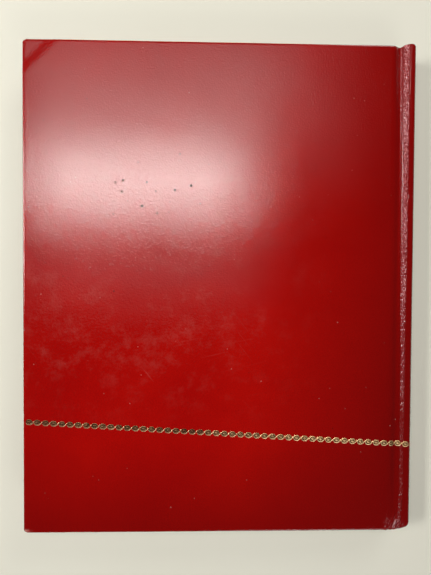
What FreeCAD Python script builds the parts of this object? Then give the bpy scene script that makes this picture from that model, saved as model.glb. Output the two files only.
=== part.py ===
import FreeCAD, Part
import math
import os
from FreeCAD import Vector

# Closed stamp album lying on its front cover, spine toward +X, head toward +Y.
# All sizes are in millimetres.

# Case
COVER_HEIGHT = 305.0
COVER_WIDTH = 231.0
BOARD_THICKNESS = 2.5
COVERING = 0.5
TURN_IN = 15.0
CORNER_RADIUS = 2.5
EDGE_RADIUS = 1.0
INNER_EDGE_RADIUS = 0.4
LIP_RADIUS = 2.2
GROOVE_RADIUS = 0.6

# Joint and spine
JOINT_WIDTH = 4.0
HINGE_GAP = 0.15
SPINE_REACH = 10.4
CROWN_REACH = 6.2
CROWN_DROP = 0.4
SHOULDER_RADIUS = 2.5
SHOULDER_LEAN = 45.0
SPINE_HEAD_RISE = 1.5
SPINE_TAIL_INSET = 1.0
SPINE_TURN_IN = 12.0
SPINE_CARD = 1.0
SPINE_CARD_SHARE = 0.94
GLUE_GAP = 0.05

# Leaves
LEAF_COUNT = 8
CARD_THICKNESS = 0.6
STRIP_THICKNESS = 0.15
GLASSINE = 0.12
SHEET_GAP = 0.26
LEAF_SQUARE = 4.5
LINEN_THICKNESS = 0.3
LINEN_WIDTH = 12.0
FOLD_GAP = 0.15

# Pocket strips on each page
STRIP_ROWS = 9
STRIP_SHARE = 0.78
STRIP_MARGIN = 5.0

# Guard stubs that hold the linen hinges
STUB_FRONT = 2.0
STUB_BACK = 4.0
LINING = 0.3
STAPLE_COUNT = 2
STAPLE_CROWN = 12.0
STAPLE_WIRE = 0.6
STAPLE_GAP = 0.08

# Pastedowns
PASTEDOWN = 0.2
PASTEDOWN_MARGIN = 4.0
PASTEDOWN_GAP = 0.4

# Gold foil chain
CHAIN_PITCH = 5.0
CHAIN_LINK_HEIGHT = 3.6
CHAIN_EYE = 1.5
CHAIN_FLAT = 1.6
CHAIN_LINK_GAP = 0.06
CHAIN_DEPTH = 0.1
CHAIN_SINK = 0.02
CHAIN_FORE_SHARE = 0.229
CHAIN_HINGE_SHARE = 0.182
CHAIN_FORE_MARGIN = 3.0

# Sizes that follow from the ones above
STRIPPED_CARD = CARD_THICKNESS + 2 * STRIP_THICKNESS
LEAF_PITCH = STRIPPED_CARD + GLASSINE + 2 * SHEET_GAP
COVER_THICKNESS = BOARD_THICKNESS + 2 * COVERING
STUB_STACK = LEAF_COUNT * LEAF_PITCH
ALBUM_THICKNESS = STUB_STACK + 2 * (LINING + COVER_THICKNESS)
MID_Z = ALBUM_THICKNESS / 2
TOTAL_WIDTH = COVER_WIDTH + JOINT_WIDTH + SPINE_REACH
X_FORE = -TOTAL_WIDTH / 2
X_BOARD = X_FORE + COVER_WIDTH
X_HINGE = X_BOARD + JOINT_WIDTH
Y_TAIL = -(COVER_HEIGHT + SPINE_HEAD_RISE) / 2
Y_HEAD = Y_TAIL + COVER_HEIGHT
Z_TOP = ALBUM_THICKNESS
Z_INNER = Z_TOP - COVER_THICKNESS
Z_HINGE = Z_INNER + COVERING / 2

# Places of the leaves
X_STUB_HINGE = X_HINGE - STUB_FRONT
X_CARD_HINGE = X_STUB_HINGE - LINEN_WIDTH
X_LEAF_FORE = X_FORE + LEAF_SQUARE
Y_LEAF_TAIL = Y_TAIL + LEAF_SQUARE
Y_LEAF_HEAD = Y_HEAD - LEAF_SQUARE
LEAF_HEIGHT = Y_LEAF_HEAD - Y_LEAF_TAIL
Z_FIRST_LEAF = COVER_THICKNESS + LINING + LEAF_PITCH / 2

os.makedirs("parts", exist_ok=True)


def block(x0, x1, y0, y1, z0, z1):
    """Box between two corners."""
    return Part.makeBox(x1 - x0, y1 - y0, z1 - z0, Vector(x0, y0, z0))


def fused(pieces):
    """One clean solid from several that overlap."""
    return pieces[0].multiFuse(pieces[1:]).removeSplitter()


def turned_over(shape):
    """Mirror image in the album's middle plane."""
    return shape.mirror(Vector(0, 0, MID_Z), Vector(0, 0, 1))


def save(name, shape):
    """Write one node."""
    shape.exportStep("parts/" + name + ".step")


def leaf_z(number):
    """Height of the middle of a leaf, numbered from the front cover."""
    return Z_FIRST_LEAF + (number - 1) * LEAF_PITCH


# Boards, coverings and pastedowns, drawn for the upper cover


def upright_edges(shape, x):
    """Edges along Z that stand on a given X."""
    found = []
    for edge in shape.Edges:
        box = edge.BoundBox
        if box.ZLength > 1.0 and box.XLength < 0.001 and abs(box.XMin - x) < 0.01:
            found.append(edge)
    return found


def level_edges(shape, z):
    """Edges that lie in one level plane."""
    return [e for e in shape.Edges if e.BoundBox.ZLength < 0.001 and abs(e.BoundBox.ZMin - z) < 0.01]


def lip_edge(shape, x, z):
    """Edge along Y at the top of the board's spine side."""
    found = []
    for edge in level_edges(shape, z):
        if edge.BoundBox.XLength < 0.001 and abs(edge.BoundBox.XMin - x) < 0.01:
            found.append(edge)
    return found


def board():
    """Grey board, eased along the groove and rounded at the two fore corners."""
    plate = block(X_FORE + COVERING, X_BOARD - COVERING, Y_TAIL + COVERING, Y_HEAD - COVERING,
                  Z_INNER + COVERING, Z_TOP - COVERING)
    plate = plate.makeFillet(LIP_RADIUS - COVERING, lip_edge(plate, X_BOARD - COVERING, Z_TOP - COVERING))
    corners = upright_edges(plate, X_FORE + COVERING)
    return plate.makeFillet(CORNER_RADIUS - COVERING, corners)


def groove_space():
    """Room above the groove: eased lip of the board, short wall, rounded foot and flat floor."""
    floor = Z_INNER + COVERING
    above = Z_TOP + LIP_RADIUS
    bend = math.sqrt(0.5)
    lip_top = Vector(X_BOARD - LIP_RADIUS, Y_TAIL, Z_TOP)
    lip_mid = Vector(X_BOARD - LIP_RADIUS * (1 - bend), Y_TAIL, Z_TOP - LIP_RADIUS * (1 - bend))
    lip_foot = Vector(X_BOARD, Y_TAIL, Z_TOP - LIP_RADIUS)
    foot_top = Vector(X_BOARD, Y_TAIL, floor + GROOVE_RADIUS)
    foot_mid = Vector(X_BOARD + GROOVE_RADIUS * (1 - bend), Y_TAIL, floor + GROOVE_RADIUS * (1 - bend))
    foot_end = Vector(X_BOARD + GROOVE_RADIUS, Y_TAIL, floor)
    far_floor = Vector(X_HINGE, Y_TAIL, floor)
    far_top = Vector(X_HINGE, Y_TAIL, above)
    near_top = Vector(X_BOARD - LIP_RADIUS, Y_TAIL, above)
    edges = [
        Part.Arc(lip_top, lip_mid, lip_foot).toShape(),
        Part.makeLine(lip_foot, foot_top),
        Part.Arc(foot_top, foot_mid, foot_end).toShape(),
        Part.makeLine(foot_end, far_floor),
        Part.makeLine(far_floor, far_top),
        Part.makeLine(far_top, near_top),
        Part.makeLine(near_top, lip_top),
    ]
    return Part.Face(Part.Wire(edges)).extrude(Vector(0, COVER_HEIGHT, 0))


def covering(board_shape):
    """Leatherette turned in round three edges of the board and run down into the groove."""
    x_end = X_HINGE - COVERING / 2 - HINGE_GAP
    skin = block(X_FORE, x_end, Y_TAIL, Y_HEAD, Z_INNER, Z_TOP)
    skin = skin.makeFillet(CORNER_RADIUS, upright_edges(skin, X_FORE))
    outer = [e for e in level_edges(skin, Z_TOP) if e.BoundBox.XMin < x_end - 0.01]
    skin = skin.makeFillet(EDGE_RADIUS, outer)
    inner = [e for e in level_edges(skin, Z_INNER) if e.BoundBox.XMin < x_end - 0.01]
    skin = skin.makeFillet(INNER_EDGE_RADIUS, inner)
    window = block(X_FORE + TURN_IN, X_BOARD - COVERING, Y_TAIL + TURN_IN, Y_HEAD - TURN_IN,
                   Z_INNER - 1.0, Z_INNER + 2 * COVERING)
    return skin.cut(groove_space()).cut(board_shape).cut(window)


def pastedown():
    """Paper over the turn-ins that dips onto the board inside them."""
    y0 = Y_TAIL + PASTEDOWN_MARGIN
    y1 = Y_HEAD - PASTEDOWN_MARGIN
    x0 = X_FORE + PASTEDOWN_MARGIN
    sheet = block(x0, X_HINGE - PASTEDOWN_GAP, y0, y1, Z_INNER - PASTEDOWN, Z_INNER)
    wx0 = X_FORE + TURN_IN
    wx1 = X_BOARD - COVERING
    wy0 = Y_TAIL + TURN_IN
    wy1 = Y_HEAD - TURN_IN
    raised = block(wx0, wx1, wy0, wy1, Z_INNER - PASTEDOWN, Z_INNER + COVERING)
    hollow = block(wx0 + PASTEDOWN, wx1 - PASTEDOWN, wy0 + PASTEDOWN, wy1 - PASTEDOWN,
                   Z_INNER - 1.0, Z_INNER + COVERING - PASTEDOWN)
    return fused([sheet, raised]).cut(hollow)


# Gold chain: links follow one straight line on the unrolled case


CHAIN_SLOPE = (CHAIN_HINGE_SHARE - CHAIN_FORE_SHARE) * COVER_HEIGHT / (COVER_WIDTH + JOINT_WIDTH)
CHAIN_ANGLE = math.degrees(math.atan(CHAIN_SLOPE))
Y_CHAIN_FORE = Y_TAIL + CHAIN_FORE_SHARE * COVER_HEIGHT
Y_CHAIN_HINGE = Y_TAIL + CHAIN_HINGE_SHARE * COVER_HEIGHT


def link_outline():
    """Flat six-sided link about the origin, its points toward its neighbours."""
    tip = CHAIN_PITCH / 2 - CHAIN_LINK_GAP
    flat = CHAIN_FLAT / 2
    tall = CHAIN_LINK_HEIGHT / 2
    corners = [(tip, 0), (flat, tall), (-flat, tall), (-tip, 0), (-flat, -tall), (flat, -tall)]
    points = [Vector(x, y, 0) for x, y in corners + corners[:1]]
    return Part.Face(Part.makePolygon(points))


def link_eye():
    """Diamond hole in the middle of a link."""
    half = CHAIN_EYE / 2
    corners = [(half, 0), (0, half), (-half, 0), (0, -half)]
    points = [Vector(x, y, 0) for x, y in corners + corners[:1]]
    return Part.Face(Part.makePolygon(points))


def cover_link_places(y_fore, slope):
    """Middle of each link on one cover, from the fore-edge to the board's edge."""
    step = CHAIN_PITCH * math.cos(math.atan(slope))
    span = COVER_WIDTH - 2 * CHAIN_FORE_MARGIN
    count = int(span // step)
    first = X_FORE + CHAIN_FORE_MARGIN + (span - (count - 1) * step) / 2
    return [(first + i * step, y_fore + slope * (first + i * step - X_FORE)) for i in range(count)]


def cover_chain(y_fore, slope):
    """Foil links of one cover and the recess each is pressed into, at the top face."""
    angle = math.degrees(math.atan(slope))
    links = []
    recesses = []
    for x, y in cover_link_places(y_fore, slope):
        outline = link_outline()
        ring = outline.cut(link_eye())
        for face in (outline, ring):
            face.rotate(Vector(0, 0, 0), Vector(0, 0, 1), angle)
            face.translate(Vector(x, y, Z_TOP - CHAIN_DEPTH))
        links.append(ring.Faces[0].extrude(Vector(0, 0, CHAIN_DEPTH - CHAIN_SINK)))
        recesses.append(outline.extrude(Vector(0, 0, 1.0)))
    return Part.makeCompound(links), Part.makeCompound(recesses)


# Spine: one profile, offset inward for each layer


CROWN_X = X_HINGE + CROWN_REACH
CROWN_Z = Z_TOP - CROWN_DROP - SHOULDER_RADIUS
BACK_DEPTH = SPINE_REACH - CROWN_REACH
BACK_RISE = CROWN_Z - MID_Z
BACK_RADIUS = ((BACK_DEPTH ** 2 + BACK_RISE ** 2 - SHOULDER_RADIUS ** 2)
               / (2 * (BACK_DEPTH - SHOULDER_RADIUS)))
BACK_X = X_HINGE + SPINE_REACH - BACK_RADIUS
BACK_ANGLE = math.atan2(BACK_RISE, CROWN_X - BACK_X)
Y_SPINE_HEAD = Y_HEAD + SPINE_HEAD_RISE
Y_SPINE_TAIL = Y_TAIL + SPINE_TAIL_INSET


def polar(x, z, radius, angle, y):
    """Point at an angle above +X in an upright plane."""
    return Vector(x + radius * math.cos(angle), y, z + radius * math.sin(angle))


def half_curve(offset, y):
    """Edges and points from the groove floor over the shoulder to the middle of the back."""
    floor_z = Z_INNER + COVERING - offset
    lean = math.radians(90.0 + SHOULDER_LEAN)
    radius = SHOULDER_RADIUS - offset
    foot_of_arc = polar(CROWN_X, CROWN_Z, radius, lean, y)
    drop = foot_of_arc.z - floor_z
    foot = Vector(foot_of_arc.x - drop / math.tan(math.radians(SHOULDER_LEAN)), y, floor_z)
    top = polar(CROWN_X, CROWN_Z, radius, (lean + BACK_ANGLE) / 2, y)
    join = polar(CROWN_X, CROWN_Z, radius, BACK_ANGLE, y)
    bend = polar(BACK_X, MID_Z, BACK_RADIUS - offset, BACK_ANGLE / 2, y)
    middle = polar(BACK_X, MID_Z, BACK_RADIUS - offset, 0.0, y)
    edges = [Part.LineSegment(foot, foot_of_arc).toShape(), Part.Arc(foot_of_arc, top, join).toShape(),
             Part.Arc(join, bend, middle).toShape()]
    return edges, foot, middle


def spine_half(y0, y1):
    """Upper half of the spine skin with its groove floor and rounded hinge end."""
    outer, outer_foot, outer_middle = half_curve(0.0, y0)
    inner, inner_foot, inner_middle = half_curve(COVERING, y0)
    hinge_top = Vector(X_HINGE, y0, Z_INNER + COVERING)
    hinge_low = Vector(X_HINGE, y0, Z_INNER)
    hinge_end = Vector(X_HINGE - COVERING / 2, y0, Z_HINGE)
    edges = outer + inner
    edges.append(Part.LineSegment(hinge_top, outer_foot).toShape())
    edges.append(Part.LineSegment(hinge_low, inner_foot).toShape())
    edges.append(Part.Arc(hinge_low, hinge_end, hinge_top).toShape())
    edges.append(Part.LineSegment(outer_middle, inner_middle).toShape())
    wire = Part.Wire(Part.__sortEdges__(edges))
    return Part.Face(wire).extrude(Vector(0, y1 - y0, 0))


def back_shell(outer, inner, y0, y1, share):
    """Slice of the spine's back between two offsets, over a share of its arc."""
    turn = BACK_ANGLE * share
    far = BACK_RADIUS - outer
    near = BACK_RADIUS - inner
    corners = [polar(BACK_X, MID_Z, r, a, y0) for r, a in
               ((far, -turn), (far, turn), (near, turn), (near, -turn))]
    edges = [Part.Arc(corners[0], polar(BACK_X, MID_Z, far, 0.0, y0), corners[1]).toShape(),
             Part.LineSegment(corners[1], corners[2]).toShape(),
             Part.Arc(corners[2], polar(BACK_X, MID_Z, near, 0.0, y0), corners[3]).toShape(),
             Part.LineSegment(corners[3], corners[0]).toShape()]
    return Part.Face(Part.Wire(edges)).extrude(Vector(0, y1 - y0, 0))


def spine_covering():
    """Leatherette from groove to groove, turned in at head and tail."""
    upper = spine_half(Y_SPINE_TAIL, Y_SPINE_HEAD)
    lip = COVERING / 2
    tail_turn = back_shell(lip, 2 * COVERING, Y_SPINE_TAIL, Y_SPINE_TAIL + SPINE_TURN_IN, SPINE_CARD_SHARE)
    head_turn = back_shell(lip, 2 * COVERING, Y_SPINE_HEAD - SPINE_TURN_IN, Y_SPINE_HEAD, SPINE_CARD_SHARE)
    return fused([upper, turned_over(upper), tail_turn, head_turn])


def spine_card():
    """Card strip that keeps the back of the spine round."""
    outer = 2 * COVERING + GLUE_GAP
    return back_shell(outer, outer + SPINE_CARD, Y_SPINE_TAIL + COVERING, Y_SPINE_HEAD - COVERING,
                      SPINE_CARD_SHARE)


def spine_links():
    """Foil links pressed round the back of the spine, and their recesses."""
    foil_shell = back_shell(CHAIN_SINK, CHAIN_DEPTH, Y_SPINE_TAIL, Y_SPINE_HEAD, 1.0)
    cut_shell = back_shell(-1.0, CHAIN_DEPTH, Y_SPINE_TAIL, Y_SPINE_HEAD, 1.0)
    arc_half = BACK_RADIUS * BACK_ANGLE
    count = int(2 * arc_half // CHAIN_PITCH)
    links = []
    recesses = []
    for i in range(count):
        along = (i - (count - 1) / 2) * CHAIN_PITCH
        angle = math.degrees(along / BACK_RADIUS)
        y = Y_CHAIN_HINGE + CHAIN_SLOPE * (SPINE_REACH - along)
        outline = link_outline()
        ring = outline.cut(link_eye())
        for face, shell, group in ((ring.Faces[0], foil_shell, links), (outline, cut_shell, recesses)):
            face.rotate(Vector(0, 0, 0), Vector(0, 1, 0), -90.0)
            face.rotate(Vector(0, 0, 0), Vector(1, 0, 0), CHAIN_ANGLE)
            prism = face.extrude(Vector(8.0, 0, 0))
            prism.translate(Vector(BACK_RADIUS - 4.0, 0, 0))
            prism.rotate(Vector(0, 0, 0), Vector(0, 1, 0), -angle)
            prism.translate(Vector(BACK_X, y, MID_Z))
            group.append(prism.common(shell).Solids[0])
    return Part.makeCompound(links), Part.makeCompound(recesses)


# Guard stubs, lining and staples


X_STUB_FRONT = X_STUB_HINGE + LINEN_THICKNESS / 2 + FOLD_GAP
X_STUB_BACK = X_HINGE + STUB_BACK
X_STAPLE = (X_STUB_FRONT + X_STUB_BACK) / 2
Z_STUB_LOW = COVER_THICKNESS + LINING
Z_STUB_HIGH = Z_STUB_LOW + STUB_STACK


def staple(y, grow):
    """Square wire staple through the stub stack, ends clinched flat below it."""
    half = STAPLE_WIRE / 2 + grow
    out = STAPLE_CROWN / 2
    clinch = STAPLE_CROWN / 4
    x0 = X_STAPLE - half
    x1 = X_STAPLE + half
    low = Z_STUB_LOW - (1.0 if grow else 0.0)
    high = Z_STUB_HIGH + (1.0 if grow else 0.0)
    wire = STAPLE_WIRE + grow
    bars = [block(x0, x1, y - out - half, y + out + half, Z_STUB_HIGH - wire, high)]
    for side in (-1, 1):
        leg = y + side * out
        bars.append(block(x0, x1, leg - half, leg + half, low, high))
        inner = leg - side * clinch
        bars.append(block(x0, x1, min(leg, inner) - half, max(leg, inner) + half, low, Z_STUB_LOW + wire))
    return fused(bars)


def staple_places():
    """Y of each staple, evenly along the stubs."""
    step = LEAF_HEIGHT / STAPLE_COUNT
    return [Y_LEAF_TAIL + step * (i + 0.5) for i in range(STAPLE_COUNT)]


def guard_stubs():
    """One card stub per leaf, stacked, with slots for the staples."""
    slots = Part.makeCompound([staple(y, STAPLE_GAP) for y in staple_places()])
    stubs = []
    for number in range(1, LEAF_COUNT + 1):
        z = leaf_z(number)
        stub = block(X_STUB_FRONT, X_STUB_BACK, Y_LEAF_TAIL, Y_LEAF_HEAD,
                     z - LEAF_PITCH / 2, z + LEAF_PITCH / 2)
        stubs.append(stub.cut(slots).Solids[0])
    return Part.makeCompound(stubs)


def spine_lining():
    """Cloth round the back of the stubs, its flaps glued to the two groove floors."""
    back = block(X_STUB_BACK, X_STUB_BACK + LINING, Y_LEAF_TAIL, Y_LEAF_HEAD, COVER_THICKNESS, Z_INNER)
    flap = block(X_HINGE + HINGE_GAP, X_STUB_BACK + LINING, Y_LEAF_TAIL, Y_LEAF_HEAD,
                 Z_INNER - LINING, Z_INNER)
    return fused([back, flap, turned_over(flap)])


# Leaves


X_CARD_EDGE = X_CARD_HINGE - LINEN_THICKNESS / 2 - FOLD_GAP


def linen(number):
    """Cloth hinge with a rounded fold along the stub and another along the card."""
    z = leaf_z(number)
    half = LINEN_THICKNESS / 2
    left = X_CARD_HINGE
    right = X_STUB_HINGE
    corners = [Vector(x, Y_LEAF_TAIL, z + side * half)
               for x, side in ((left, -1), (right, -1), (right, 1), (left, 1))]
    card_fold = Vector(left - half, Y_LEAF_TAIL, z)
    stub_fold = Vector(right + half, Y_LEAF_TAIL, z)
    edges = [Part.LineSegment(corners[0], corners[1]).toShape(),
             Part.Arc(corners[1], stub_fold, corners[2]).toShape(),
             Part.LineSegment(corners[2], corners[3]).toShape(),
             Part.Arc(corners[3], card_fold, corners[0]).toShape()]
    return Part.Face(Part.Wire(edges)).extrude(Vector(0, LEAF_HEIGHT, 0))


def card(number):
    """Black leaf card."""
    z = leaf_z(number)
    half = CARD_THICKNESS / 2
    return block(X_LEAF_FORE, X_CARD_EDGE, Y_LEAF_TAIL, Y_LEAF_HEAD, z - half, z + half)


def strips(number):
    """Rows of clear pocket strips on both faces of a card."""
    row = (LEAF_HEIGHT - STRIP_MARGIN) / STRIP_ROWS
    rows = []
    for face in (-1, 1):
        inner = leaf_z(number) + face * CARD_THICKNESS / 2
        outer = inner + face * STRIP_THICKNESS
        for i in range(STRIP_ROWS):
            y = Y_LEAF_TAIL + STRIP_MARGIN + i * row
            rows.append(block(X_LEAF_FORE + STRIP_MARGIN, X_CARD_EDGE - STRIP_MARGIN,
                              y, y + row * STRIP_SHARE, min(inner, outer), max(inner, outer)))
    return Part.makeCompound(rows)


def interleaf(z):
    """Glassine sheet tipped onto the linen along its hinge edge."""
    half = GLASSINE / 2
    return block(X_LEAF_FORE, X_CARD_HINGE, Y_LEAF_TAIL, Y_LEAF_HEAD, z - half, z + half)


# Build every node


back_board = board()
plain_covering = covering(back_board)
back_pastedown = pastedown()
back_chain, back_recess = cover_chain(Y_CHAIN_FORE, CHAIN_SLOPE)
spine_wrap = 2 * SPINE_REACH + ALBUM_THICKNESS
y_front_hinge = Y_CHAIN_HINGE + CHAIN_SLOPE * spine_wrap
y_front_fore = y_front_hinge + CHAIN_SLOPE * (COVER_WIDTH + JOINT_WIDTH)
front_chain, front_recess = cover_chain(y_front_fore, -CHAIN_SLOPE)
spine_chain, spine_recess = spine_links()

save("back_board", back_board)
save("back_covering", plain_covering.cut(back_recess))
save("back_pastedown", back_pastedown)
save("back_chain", back_chain)
save("front_board", turned_over(back_board))
save("front_covering", turned_over(plain_covering.cut(front_recess)))
save("front_pastedown", turned_over(back_pastedown))
save("front_chain", turned_over(front_chain))
save("spine_covering", spine_covering().cut(spine_recess))
save("spine_card", spine_card())
save("spine_chain", spine_chain)
save("guard_stubs", guard_stubs())
save("guard_staples", Part.makeCompound([staple(y, 0.0) for y in staple_places()]))
save("spine_lining", spine_lining())

for number in range(1, LEAF_COUNT + 1):
    save("leaf_%d_linen" % number, linen(number))
    save("leaf_%d_card" % number, card(number))
    save("leaf_%d_strips" % number, strips(number))
for number in range(1, LEAF_COUNT):
    save("interleaf_%d" % number, interleaf(leaf_z(number) + LEAF_PITCH / 2))
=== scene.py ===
"""Looks of a closed red stamp album with a gold chain line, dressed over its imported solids."""
import bpy
import math
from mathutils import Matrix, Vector, noise


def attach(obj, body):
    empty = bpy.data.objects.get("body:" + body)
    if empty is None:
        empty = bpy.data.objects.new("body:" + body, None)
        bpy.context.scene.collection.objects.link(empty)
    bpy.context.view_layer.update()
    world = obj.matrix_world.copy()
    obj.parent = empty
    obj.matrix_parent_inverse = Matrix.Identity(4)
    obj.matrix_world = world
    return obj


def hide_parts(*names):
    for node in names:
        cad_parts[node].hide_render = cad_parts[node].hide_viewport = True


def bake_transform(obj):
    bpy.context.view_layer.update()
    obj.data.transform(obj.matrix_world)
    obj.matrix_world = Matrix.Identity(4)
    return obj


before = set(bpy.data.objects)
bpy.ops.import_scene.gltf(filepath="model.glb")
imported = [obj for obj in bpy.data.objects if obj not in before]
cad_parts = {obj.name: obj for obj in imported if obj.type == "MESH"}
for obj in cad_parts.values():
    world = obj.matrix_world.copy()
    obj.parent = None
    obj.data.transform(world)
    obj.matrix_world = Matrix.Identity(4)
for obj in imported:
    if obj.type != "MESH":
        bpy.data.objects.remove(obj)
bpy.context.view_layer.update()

# Sizes in millimetres, the same as in the part's source
MM = 0.001
COVER_HEIGHT = 305.0
COVER_WIDTH = 231.0
COVERING = 0.5
JOINT_WIDTH = 4.0
SPINE_REACH = 10.4
CROWN_REACH = 6.2
CROWN_DROP = 0.4
SHOULDER_RADIUS = 2.5
SPINE_HEAD_RISE = 1.5
COVER_THICKNESS = 3.5
LEAF_PITCH = 1.54
LEAF_COUNT = 8
LEAF_SQUARE = 4.5
LINEN_WIDTH = 12.0
STUB_FRONT = 2.0
STUB_BACK = 4.0
LINING = 0.3
SPINE_CARD_SHARE = 0.94
CHAIN_FORE_SHARE = 0.229
CHAIN_HINGE_SHARE = 0.182
ALBUM = LEAF_COUNT * LEAF_PITCH + 2 * (LINING + COVER_THICKNESS)
MID_Z = ALBUM / 2
X_FORE = -(COVER_WIDTH + JOINT_WIDTH + SPINE_REACH) / 2
X_BOARD = X_FORE + COVER_WIDTH
X_HINGE = X_BOARD + JOINT_WIDTH
Y_TAIL = -(COVER_HEIGHT + SPINE_HEAD_RISE) / 2
Y_HEAD = Y_TAIL + COVER_HEIGHT
Z_INNER = ALBUM - COVER_THICKNESS
Z_GROOVE = Z_INNER + COVERING
CHAIN_SLOPE = (CHAIN_HINGE_SHARE - CHAIN_FORE_SHARE) * COVER_HEIGHT / (COVER_WIDTH + JOINT_WIDTH)
Y_CHAIN_FORE = Y_TAIL + CHAIN_FORE_SHARE * COVER_HEIGHT


def smooth(a, b, x):
    """Soft step from 0 at a to 1 at b."""
    t = min(1.0, max(0.0, (x - a) / (b - a)))
    return t * t * (3 - 2 * t)


def wander(x, y, seed):
    """Smooth repeatable noise between about -1 and 1."""
    return noise.noise(Vector((x, y, seed)))


# Materials


def new_material(name, color, roughness, metallic=0.0):
    """A material and its Principled shader."""
    mat = bpy.data.materials.new(name)
    mat.use_nodes = True
    shader = mat.node_tree.nodes["Principled BSDF"]
    shader.inputs["Base Color"].default_value = (*color, 1.0)
    shader.inputs["Roughness"].default_value = roughness
    shader.inputs["Metallic"].default_value = metallic
    return mat, shader


def add(mat, kind, **values):
    """A node with its inputs set by name, from numbers or from other nodes' sockets."""
    node = mat.node_tree.nodes.new(kind)
    for key, value in values.items():
        socket = node.inputs[key]
        if isinstance(value, bpy.types.NodeSocket):
            mat.node_tree.links.new(value, socket)
        else:
            socket.default_value = value
    return node


def place(mat, scale=(1.0, 1.0, 1.0), turn=0.0):
    """Object coordinates, turned about Z and stretched along each axis."""
    coords = add(mat, "ShaderNodeTexCoord")
    turned = add(mat, "ShaderNodeMapping", Vector=coords.outputs["Object"], Rotation=(0.0, 0.0, turn))
    stretched = add(mat, "ShaderNodeMapping", Vector=turned.outputs["Vector"], Scale=scale)
    return stretched.outputs["Vector"]


def warped(mat, vector, scale, amount):
    """A vector pushed about by noise."""
    push = add(mat, "ShaderNodeTexNoise", Vector=vector, Scale=scale).outputs["Color"]
    node = mat.node_tree.nodes.new("ShaderNodeVectorMath")
    node.operation = "MULTIPLY_ADD"
    mat.node_tree.links.new(push, node.inputs[0])
    node.inputs[1].default_value = (amount, amount, amount)
    mat.node_tree.links.new(vector, node.inputs[2])
    return node.outputs["Vector"]


def grain(mat, vector, scale, detail=3.0, rough=0.5):
    """Noise value over a vector."""
    node = add(mat, "ShaderNodeTexNoise", Vector=vector, Scale=scale, Detail=detail, Roughness=rough)
    return node.outputs["Fac"]


def ramp(mat, value, stops):
    """Colour ramp over a value, between two stops."""
    node = add(mat, "ShaderNodeValToRGB", Fac=value)
    for element, (at, color) in zip(node.color_ramp.elements, stops):
        element.position = at
        element.color = (*color, 1.0)
    return node.outputs["Color"]


def spread(mat, value, low, high, out_low=0.0, out_high=1.0):
    """Clamped straight-line change of range."""
    node = mat.node_tree.nodes.new("ShaderNodeMapRange")
    mat.node_tree.links.new(value, node.inputs["Value"])
    for key, number in (("From Min", low), ("From Max", high), ("To Min", out_low), ("To Max", out_high)):
        node.inputs[key].default_value = number
    return node.outputs["Result"]


def blend_color(mat, factor, first, second):
    """Mix of two colours, each a triple or a socket."""
    node = mat.node_tree.nodes.new("ShaderNodeMix")
    node.data_type = "RGBA"
    for index, value in ((0, factor), (6, first), (7, second)):
        if isinstance(value, bpy.types.NodeSocket):
            mat.node_tree.links.new(value, node.inputs[index])
        else:
            node.inputs[index].default_value = value if index == 0 else (*value, 1.0)
    return node.outputs[2]


def arithmetic(mat, operation, first, second):
    """Math node on two values."""
    node = mat.node_tree.nodes.new("ShaderNodeMath")
    node.operation = operation
    for index, value in ((0, first), (1, second)):
        if isinstance(value, bpy.types.NodeSocket):
            mat.node_tree.links.new(value, node.inputs[index])
        else:
            node.inputs[index].default_value = value
    return node.outputs[0]


def times(mat, value, *others):
    """Product of values."""
    for other in others:
        value = arithmetic(mat, "MULTIPLY", value, other)
    return value


def plus(mat, value, *others):
    """Sum of values."""
    for other in others:
        value = arithmetic(mat, "ADD", value, other)
    return value


def between(mat, value, low, full_from, full_to, high):
    """1 in the middle of a range, with a slope down to 0 on each side."""
    return times(mat, spread(mat, value, low, full_from), spread(mat, value, high, full_to))


def layered(mat, tone, layers):
    """Colours laid over a tone in turn, each through its own mask."""
    for mask, color in layers:
        tone = blend_color(mat, mask, tone, color)
    return tone


def bump(mat, shader, height, strength, distance):
    """Bump from a height value, laid over any bump already there."""
    node = add(mat, "ShaderNodeBump", Height=height, Strength=strength, Distance=distance)
    if shader.inputs["Normal"].is_linked:
        mat.node_tree.links.new(shader.inputs["Normal"].links[0].from_socket, node.inputs["Normal"])
    mat.node_tree.links.new(node.outputs["Normal"], shader.inputs["Normal"])


def feed(mat, socket, shader, name):
    """Link a socket to the shader."""
    mat.node_tree.links.new(socket, shader.inputs[name])


def attribute(mat, name):
    """Value stored on the mesh points."""
    node = mat.node_tree.nodes.new("ShaderNodeAttribute")
    node.attribute_name = name
    return node.outputs["Fac"]


def scratches(mat, turn, scale, low):
    """Mask of thin broken lines that run one way."""
    lines = grain(mat, place(mat, (1.0, 30.0, 1.0), turn), scale, 1.0, 0.5)
    breaks = grain(mat, place(mat), scale * 0.6, 1.0)
    return times(mat, spread(mat, lines, low, low + 0.05), spread(mat, breaks, 0.5, 0.6))


def specks(mat, scale, size, often):
    """Mask of small round marks, kept only in some places."""
    cells = add(mat, "ShaderNodeTexVoronoi", Vector=place(mat), Scale=scale)
    mark = spread(mat, cells.outputs["Distance"], size, size * 0.6)
    places = grain(mat, place(mat), scale * 0.31, 1.0)
    return times(mat, mark, spread(mat, places, often, often + 0.04))


# PAINTED_SHADE_RED is painted shade, laid where the cover takes less light
PAINTED_SHADE_RED = (0.155, 0.0006, 0.0003)
SCUFFED_RED = (0.50, 0.16, 0.13)
SCRATCHED_RED = (0.60, 0.28, 0.24)
PALE_SPECK = (0.60, 0.30, 0.26)
DARK_SPECK = (0.03, 0.004, 0.003)
# PIT_SHADE_RED is painted shade in small pits
PIT_SHADE_RED = (0.05, 0.004, 0.003)
# CREASE_HIGHLIGHT_RED is a painted highlight for the folds of the joint
CREASE_HIGHLIGHT_RED = (0.75, 0.22, 0.22)
RUBBED_RED = (0.62, 0.27, 0.22)


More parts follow.
